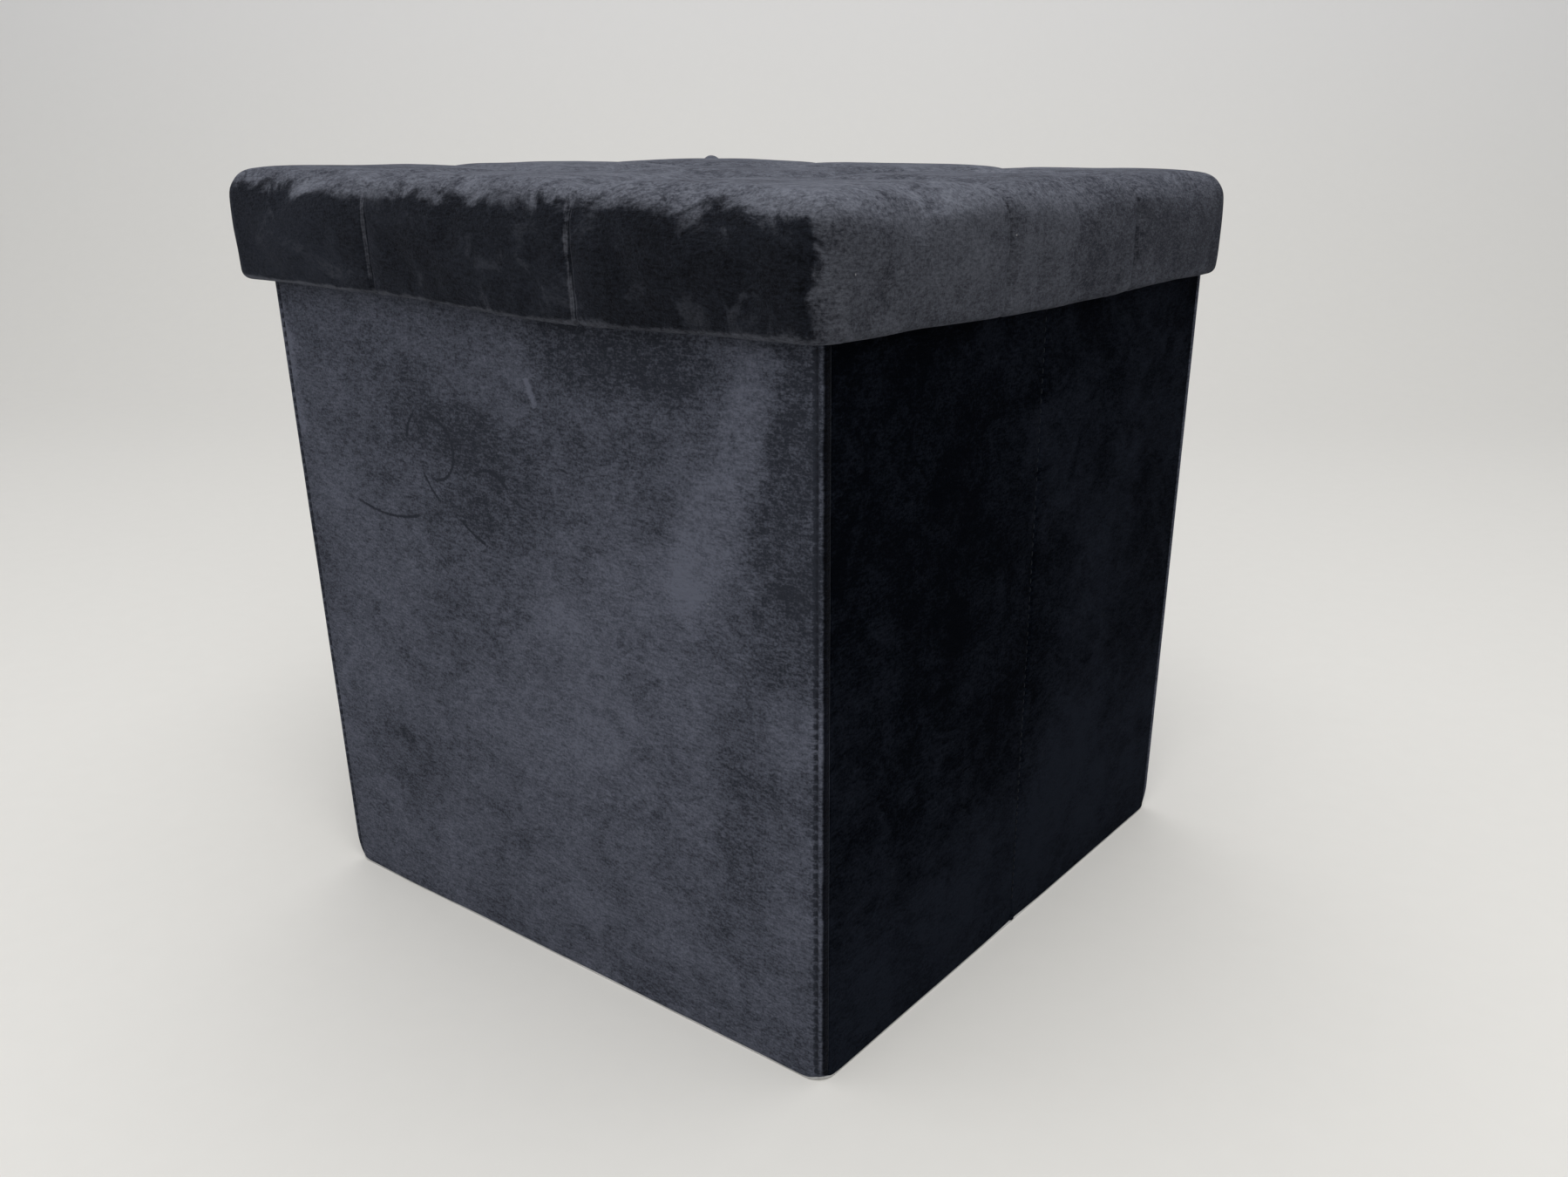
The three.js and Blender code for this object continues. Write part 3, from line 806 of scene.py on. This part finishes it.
def stitches(name, start, end, out, material, length=STITCH_LENGTH):
    """A row of single stitches between two points, standing a little out of the cloth along out."""
    start, end, out = Vector(start), Vector(end), Vector(out).normalized()
    along = (end - start).normalized()
    across = along.cross(out)
    count = int((end - start).length / STITCH_PITCH)
    points, faces = [], []
    rings, sides = 7, 6
    for i in range(count):
        centre = start + along * STITCH_PITCH * (i + 0.5)
        tilt = 0.12 * MM * noise.noise(Vector((i * 3.7, 0.5, 0.5)))
        first = len(points)
        for r in range(rings):
            t = r / (rings - 1) * 2 - 1
            size = STITCH_RADIUS * math.sqrt(max(0.04, 1 - abs(t) ** 3))
            middle = centre + along * t * length / 2 + across * tilt * t
            middle -= out * 0.5 * STITCH_RADIUS * t * t
            for s in range(sides):
                angle = 2 * math.pi * s / sides
                points.append(middle + across * size * math.cos(angle) + out * size * math.sin(angle))
        for r in range(rings - 1):
            for s in range(sides):
                a = first + r * sides + s
                b = first + r * sides + (s + 1) % sides
                faces.append((a, b, b + sides, a + sides))
        faces.append(tuple(first + s for s in reversed(range(sides))))
        faces.append(tuple(first + (rings - 1) * sides + s for s in range(sides)))
    piece = make_piece(name, points, faces)
    dress(piece, material)
    return piece


def make_stitches():
    inset = HALF_X - STITCH_INSET
    low, high = HEM_Z + 12 * MM, WALL_TOP - 6 * MM
    for wall, sign in (("front", -1), ("back", 1)):
        for side, x in (("right", inset), ("left", -inset)):
            depth = sign * (HALF_Y - 1.05 * MM)
            row = stitches(f"{wall}_{side}_corner_stitches", (x, depth, low), (x, depth, high),
                           (0, sign, 0), dark_thread)
            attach(row, f"{wall}_wall")
    hem = LINING_TOP + 3.5 * MM
    for wall, sign in (("front", -1), ("back", 1)):
        y = sign * (INNER_Y - LINING_AIR)
        row = stitches(f"{wall}_turn_in_stitches", (-INNER_X + 8 * MM, y, hem), (INNER_X - 8 * MM, y, hem),
                       (0, -sign, 0), grey_thread)
        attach(row, f"{wall}_wall")
    for side, sign in (("right", 1), ("left", -1)):
        x = sign * (INNER_X - LINING_AIR)
        for part, y in (("rear", 1), ("front", -1)):
            row = stitches(f"{side}_{part}_turn_in_stitches", (x, y * 4 * MM, hem), (x, y * 160 * MM, hem),
                           (-sign, 0, 0), grey_thread)
            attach(row, f"{side}_{part}_panel")
        x = sign * (HALF_X - 1.1 * MM)
        row = stitches(f"{side}_fold_stitches", (x, sign * fold_line(low), low),
                       (x, sign * fold_line(high), high), (sign, 0, 0), side_thread_painted_shade, length=3.0 * MM)
        blend_middle(row)


# ---- bottom sheet and base flap ----

def make_bottom_sheet():
    """A limp pale sheet under the box, whose edge shows as a thin line below the velvet."""
    half_x, half_y = HALF_X - 0.2 * MM, HALF_Y - 0.2 * MM
    near = (0.6 * MM, 2 * MM, 4 * MM, 7 * MM, 10 * MM)
    xs = np.array(spread(-half_x, half_x, 8 * MM, (-half_x, half_x), near))
    ys = np.array(spread(-half_y, half_y, 8 * MM, (-half_y, half_y), near))
    radius = FOOT_RADIUS
    points = []
    for y in ys:
        for x in xs:
            px, py = round_corner(x, y, half_x, half_y, radius)
            corner = math.hypot(HALF_X - abs(px), HALF_Y - abs(py))
            edge = min(half_x - abs(x), half_y - abs(y))
            curl = (lower_edge(corner) - HEM_Z) * math.exp(-edge / (5 * MM))
            points.append((px, py, SHEET_TOP + float(curl)))
    piece = make_piece("bottom_sheet_cloth", points, grid_faces(len(ys), len(xs)))
    flip_up(piece)
    thicken(piece, SHEET_TOP - 0.05 * MM)
    dress(piece, pale_nonwoven)
    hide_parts("bottom_sheet")
    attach(piece, "back_wall")
    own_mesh(piece)


def make_base_cover():
    """Non-woven cloth over the base board, turned down round its edges, with a stitched border."""
    low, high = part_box("base_board")
    cover_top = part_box("base_cover")[1].z
    half_x, half_y = (high.x - low.x) / 2 + 0.5 * MM, (high.y - low.y) / 2 + 0.25 * MM
    centre_y = (low.y + high.y) / 2
    near = (0.5 * MM, 1.2 * MM, 2.4 * MM, 5 * MM, BASE_BORDER, 7 * MM)
    xs = spread(-half_x, half_x, 6 * MM, (-half_x, half_x), near)
    ys = spread(-half_y, half_y, 6 * MM, (-half_y, half_y), near)
    radius = 6 * MM
    depth = cover_top - low.z
    points = []
    for y in ys:
        for x in xs:
            px, py = round_corner(x, y, half_x, half_y, radius)
            edge = min(half_x - abs(x), half_y - abs(y))
            z = cover_top - 0.45 * MM * math.exp(-((edge - BASE_BORDER) / (0.7 * MM)) ** 2)
            z -= (depth - 0.8 * MM) * max(0.0, 1 - edge / (0.7 * MM)) ** 2
            z -= 0.15 * MM * (1 + noise.noise(Vector((x, y, 5)) / (45 * MM)))
            points.append((px, py + centre_y, z))
    piece = make_piece("base_cover_cloth", points, grid_faces(len(ys), len(xs)))
    flip_up(piece)
    thicken(piece, BASE_CLOTH)
    dress(piece, black_nonwoven)
    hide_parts("base_cover")
    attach(piece, "base_flap")
    top = cover_top - 0.35 * MM
    inset_x, inset_y = half_x - BASE_BORDER, half_y - BASE_BORDER
    ends = ((-1, -1, 1, -1), (1, -1, 1, 1), (1, 1, -1, 1), (-1, 1, -1, -1))
    for number, (x0, y0, x1, y1) in enumerate(ends):
        row = stitches(f"base_stitches_{number + 1}", (x0 * inset_x, centre_y + y0 * inset_y, top),
                       (x1 * inset_x, centre_y + y1 * inset_y, top), (0, 0, 1), grey_thread)
        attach(row, "base_flap")


# ---- lid ----

def seam_distance(place, seams):
    return min(abs(place - s) for s in seams)


def pad_height(away, edge):
    """Share of the full padding height, this far from the nearest seam and from the lid's edge."""
    depth = 1 - 0.72 * math.exp(-edge / (24 * MM))
    return 1 - depth * math.exp(-(away / PAD_SLOPE) ** 1.2)


def lid_side_steps(height):
    """(outward, drop, share of the way to the rim's inner face) from the lid's top edge to inside."""
    steps = [(LID_EDGE * math.sin(a), LID_EDGE * (1 - math.cos(a)), 0.0)
             for a in np.linspace(0, math.pi / 2, 6)[1:]]
    steps += [(LID_EDGE, LID_EDGE + (height - LID_EDGE - LID_UNDER) * s, 0.0)
              for s in np.linspace(0, 1, 7)[1:]]
    steps += [(LID_EDGE - LID_UNDER * (1 - math.cos(a)), height - LID_UNDER * (1 - math.sin(a)), 0.0)
              for a in np.linspace(0, math.pi / 2, 5)[1:]]
    outward, drop, _ = steps[-1]
    return steps + [(outward, drop, 0.5), (outward, drop, 1.0), (outward, drop - RIM_TURN_UP, 1.0)]


def lid_shell():
    """The lid cover at rest before it is filled out.

    Returns its piece, with each vertex's distance from the nearest seam, and which are held still.
    """
    half_x, half_y = LID_HALF.x - SIDE_PUFF - LID_EDGE, LID_HALF.y - SIDE_PUFF - LID_EDGE
    top = lid_high.z - PUFF
    near = (1.2 * MM, 2.8 * MM)
    rim = (1 * MM, 2 * MM, LID_CORNER)
    xs = spread(-half_x, half_x, 5 * MM, SEAMS_X + (-half_x, half_x), near + rim)
    ys = spread(-half_y, half_y, 5 * MM, SEAMS_Y + (-half_y, half_y), near + rim)
    points, away, held = [], [], []
    for y in ys:
        for x in xs:
            px, py = round_corner(x, y, half_x, half_y, LID_CORNER)
            away.append(min(seam_distance(x, SEAMS_X), seam_distance(y, SEAMS_Y)))
            edge = min(half_x - abs(x), half_y - abs(y))
            points.append((px, py, top + PUFF * pad_height(away[-1], edge)))
            held.append(away[-1] < 0.1 * MM)
    faces = grid_faces(len(ys), len(xs))
    columns = len(xs)
    loop = edge_loop(len(ys), columns)
    previous = [r * columns + c for r, c in loop]
    rim_low, rim_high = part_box("lid_lining")
    rim_half = (rim_high - rim_low) / 2
    height = top - lid_low.z
    steps = lid_side_steps(height)
    corner = Vector((half_x - LID_CORNER, half_y - LID_CORNER, 0))
    for outward, drop, inward in steps:
        current = []
        for r, c in loop:
            x, y = xs[c], ys[r]
            base = Vector((*points[r * columns + c][:2], 0))
            core = Vector((max(-corner.x, min(corner.x, base.x)),
                           max(-corner.y, min(corner.y, base.y)), 0))
            normal = Vector((base.x - core.x, base.y - core.y, 0))
            if normal.length < 1e-6:
                at_side = c in (0, columns - 1)
                normal = Vector((1 if c else -1, 0, 0)) if at_side else Vector((0, 1 if r else -1, 0))
            normal.normalize()
            side = abs(normal.y) * seam_distance(x, SEAMS_X) + abs(normal.x) * seam_distance(y, SEAMS_Y)
            full = pad_height(side, 0)
            level = 1 - drop / height
            swell = SIDE_PUFF * (full * 1.6 - 0.6) * math.sin(math.pi * min(1, level * 1.1)) ** 0.5
            place = base + normal * (outward + swell)
            sag = hem_sag(x, y, normal) * max(0.0, drop / height) ** 3
            sag -= PUFF * full * max(0.0, level) ** 1.5
            inner = Vector((max(-rim_half.x, min(rim_half.x, place.x)),
                            max(-rim_half.y, min(rim_half.y, place.y)), place.z))
            if abs(normal.x) > abs(normal.y):
                inner.x = math.copysign(rim_half.x, normal.x)
            if abs(normal.y) >= abs(normal.x):
                inner.y = math.copysign(rim_half.y, normal.y)
            place = place.lerp(inner, inward)
            current.append(len(points))
            points.append((place.x, place.y, top - drop - sag * (1 - inward)))
            away.append(side)
            held.append(side < 0.1 * MM or drop > height - 0.75 * LID_UNDER or inward > 0)
        faces += join_loops(previous, current)
        previous = current
    centre = Vector((LID_CENTRE.x, LID_CENTRE.y, 0))
    piece = make_piece("lid_cushion", [Vector(p) + centre for p in points], faces)
    return piece, np.array(away), np.array(held)


def hem_sag(x, y, normal):
    """The lid's lower edge hangs lower at the middle of the front and of the right side."""
    if normal.y < -0.5:
        return 3.6 * MM * math.exp(-((x - 50 * MM) / (75 * MM)) ** 2)
    if normal.x > 0.5:
        return 2.4 * MM * math.exp(-((y + 10 * MM) / (90 * MM)) ** 2)
    return 2.0 * MM * math.exp(-((x + y) / (80 * MM)) ** 2)


CLOTH_FRAMES = 20
CLOTH = {
    "quality": 6, "mass": 0.2, "tension_stiffness": 12, "compression_stiffness": 8,
    "shear_stiffness": 6, "bending_stiffness": 1.2, "air_damping": 3, "use_pressure": True,
    "uniform_pressure_force": 3.0, "shrink_min": -0.012, "vertex_group_mass": "held",
    "pin_stiffness": 1,
}


def fill_out(piece, held, limit):
    """Cloth simulation: air pressure fills the quilting while the seams and the rim stay put."""
    group = piece.vertex_groups.new(name="held")
    group.add([int(i) for i in np.nonzero(held)[0]], 1.0, "REPLACE")
    before = coordinates(piece.data)
    cloth = piece.modifiers.new("cloth", "CLOTH")
    for setting, value in CLOTH.items():
        setattr(cloth.settings, setting, value)
    cloth.settings.effector_weights.gravity = 0
    cloth.collision_settings.use_collision = False
    cloth.collision_settings.use_self_collision = False
    scene = bpy.context.scene
    for number in range(1, CLOTH_FRAMES + 1):
        scene.frame_set(number)
    bpy.context.view_layer.update()
    graph = bpy.context.evaluated_depsgraph_get()
    after = coordinates(piece.evaluated_get(graph).data)
    piece.modifiers.clear()
    scene.frame_set(1)
    move = after - before
    length = np.linalg.norm(move, axis=1)
    soft = limit * np.tanh(length / limit)
    move *= (soft / np.maximum(length, 1e-9))[:, None]
    piece.data.vertices.foreach_set("co", (before + move).astype(np.float32).ravel())
    piece.data.update()


def make_lid_cushion():
    piece, away, held = lid_shell()
    flip_up(piece)
    attribute = piece.data.attributes.new("seam_distance", "FLOAT", "POINT")
    attribute.data.foreach_set("value", away.astype(np.float32))
    fill_out(piece, held, WRINKLE)
    smooth = piece.modifiers.new("surface", "SUBSURF")
    smooth.levels = smooth.render_levels = 1
    settle(piece)
    away = np.empty(len(piece.data.vertices), np.float32)
    piece.data.attributes["seam_distance"].data.foreach_get("value", away)
    points = coordinates(piece.data)
    pucker = soft_noise(points, 9 * MM, 2.0) * bump(away, 9 * MM) * 0.4 * MM
    waves = soft_noise(points, 34 * MM, 4.0) * 0.6 * MM
    move_along_normals(piece, pucker + waves * (1 - bump(away, 12 * MM)) - 1.1 * MM * bump(away, 1.3 * MM))
    tip = np.array([lid_low.x + TIP_INSET, lid_high.y - TIP_INSET, lid_high.z])
    points = coordinates(piece.data)
    points[:, 2] += TIP_HEIGHT * bump(np.linalg.norm(points - tip, axis=1), TIP_REACH)
    piece.data.vertices.foreach_set("co", points.astype(np.float32).ravel())
    thicken(piece, LID_VELVET)
    dress(piece, velvet_lid)
    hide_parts("lid_cover", "lid_padding")
    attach(piece, "lid")


def make_lid_lining():
    """Non-woven cloth inside the lid: under its board and down inside its rim."""
    low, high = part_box("lid_lining")
    half = (high - low) / 2
    centre = (high + low) / 2
    top = high.z - 0.1 * MM
    flat_x, flat_y = half.x - LID_LINING_EDGE, half.y - LID_LINING_EDGE
    xs = spread(-flat_x, flat_x, 8 * MM)
    ys = spread(-flat_y, flat_y, 8 * MM)
    points = []
    for y in ys:
        for x in xs:
            points.append((x, y, top - 0.25 * MM * (1 + noise.noise(Vector((x, y, 2)) / (50 * MM)))))
    faces = grid_faces(len(ys), len(xs))
    columns = len(xs)
    loop = edge_loop(len(ys), columns)
    previous = [r * columns + c for r, c in loop]
    scale_x, scale_y = half.x / flat_x, half.y / flat_y
    depth = high.z - low.z - LID_LINING_STOP
    for drop in (0.4 * MM, 1.5 * MM, 5 * MM, 9 * MM, depth):
        current = []
        for r, c in loop:
            current.append(len(points))
            points.append((xs[c] * scale_x, ys[r] * scale_y, top - drop))
        faces += join_loops(previous, current)
        previous = current
    shift = Vector((centre.x, centre.y, 0))
    piece = make_piece("lid_lining_cloth", [Vector(p) + shift for p in points], faces)
    flip_up(piece)
    thicken(piece, THIN_CLOTH)
    dress(piece, black_nonwoven)
    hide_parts("lid_lining")
    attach(piece, "lid")


# ---- CAD nodes that stay ----

def dress_boards():
    """Gives the CAD nodes of the boards, which stay as they are, the look of raw fibreboard."""
    for node in bpy.data.objects:
        if node.name.endswith("_board") or node.name.startswith("lid_rim"):
            node.data.materials.clear()
            node.data.materials.append(board_material)


# ---- studio ----

CAMERA_PLACE = (476.3 * MM, -572.3 * MM, 405.9 * MM)
CAMERA_YAW = math.radians(-36.276)
CAMERA_PITCH = math.radians(22.726)
CAMERA_ROLL = math.radians(0.455)
LENS = 30.79
SHIFT_X = -0.0370
SHIFT_Y = 0.0654
SENSOR = 36
FLOOR_BEFORE = -4.0
BEND_START = 1.3
BEND_RADIUS = 1.0
BACKDROP_HEIGHT = 4.0
WARM_WHITE = (1.0, 0.985, 0.965)


def make_camera():
    data = bpy.data.cameras.new("camera")
    data.sensor_width = SENSOR
    data.lens = LENS
    data.shift_x = SHIFT_X
    data.shift_y = SHIFT_Y
    data.clip_start = 0.01
    data.dof.use_dof = False
    camera = bpy.data.objects.new("camera", data)
    bpy.context.scene.collection.objects.link(camera)
    yaw, pitch = CAMERA_YAW, CAMERA_PITCH
    forward = Vector((math.sin(yaw) * math.cos(pitch), math.cos(yaw) * math.cos(pitch), -math.sin(pitch)))
    level = Vector((math.cos(yaw), -math.sin(yaw), 0))
    upright = level.cross(forward)
    right = level * math.cos(CAMERA_ROLL) + upright * math.sin(CAMERA_ROLL)
    up = upright * math.cos(CAMERA_ROLL) - level * math.sin(CAMERA_ROLL)
    turn = Matrix((right, up, -forward)).transposed().to_4x4()
    camera.matrix_world = Matrix.Translation(Vector(CAMERA_PLACE)) @ turn
    bpy.context.scene.camera = camera


def make_room():
    """A pale floor that curves up into a backdrop behind the ottoman."""
    ahead = Vector((math.sin(CAMERA_YAW), math.cos(CAMERA_YAW), 0))
    across = Vector((ahead.y, -ahead.x, 0))
    profile = [(FLOOR_BEFORE, 0.0), (0.0, 0.0), (1.2, 0.0)]
    profile += [(BEND_START + BEND_RADIUS * math.sin(a), BEND_RADIUS * (1 - math.cos(a)))
                for a in np.linspace(0, math.pi / 2, 13)]
    profile.append((BEND_START + BEND_RADIUS, BACKDROP_HEIGHT))
    points = []
    for distance, height in profile:
        for side in (-5, -2.5, 0, 2.5, 5):
            place = ahead * distance + across * side
            points.append((place.x, place.y, height))
    floor = make_piece("studio_floor", points, grid_faces(len(profile), 5))
    flip_up(floor)
    n = Nodes("studio_paper")
    rise = n.ramp(n.separate()["Z"], 0.0, BEND_START)
    paper = n.noise(60, 3, 0.5)
    floor_colour = n.mix(paper, rgb(0.78, 0.77, 0.742), rgb(0.80, 0.79, 0.762))
    n.set(Base_Color=n.mix(rise, floor_colour, rgb(0.85, 0.85, 0.87)), Roughness=0.9)
    n.set(Specular_IOR_Level=0.1)
    floor.data.materials.append(n.material)


def area_light(name, place, aim, size, power, colour):
    data = bpy.data.lights.new(name, "AREA")
    data.shape = "RECTANGLE"
    data.size, data.size_y = size
    data.energy = power
    data.color = colour
    light = bpy.data.objects.new(name, data)
    bpy.context.scene.collection.objects.link(light)
    light.location = place
    light.rotation_mode = "QUATERNION"
    light.rotation_quaternion = (Vector(aim) - Vector(place)).to_track_quat("-Z", "Y")


def make_light():
    world = bpy.data.worlds.new("world")
    world.use_nodes = True
    background = world.node_tree.nodes["Background"]
    background.inputs["Color"].default_value = (0.93, 0.96, 1.0, 1.0)
    background.inputs["Strength"].default_value = 0.27
    bpy.context.scene.world = world
    area_light("overhead", (0, 0, 2.8), (0, 0, 0), (3.6, 3.4), 44, WARM_WHITE)
    area_light("front_soft", (1.3, -1.6, 2.3), (0, 0, 0), (3.0, 3.0), 54, WARM_WHITE)


make_camera()
make_sleeve()
make_gussets()
make_linings()
make_stitches()
make_bottom_sheet()
make_base_cover()
make_lid_cushion()
make_lid_lining()
dress_boards()
make_room()
make_light()

bpy.context.scene.view_settings.view_transform = "Standard"
bpy.context.scene.view_settings.look = "None"
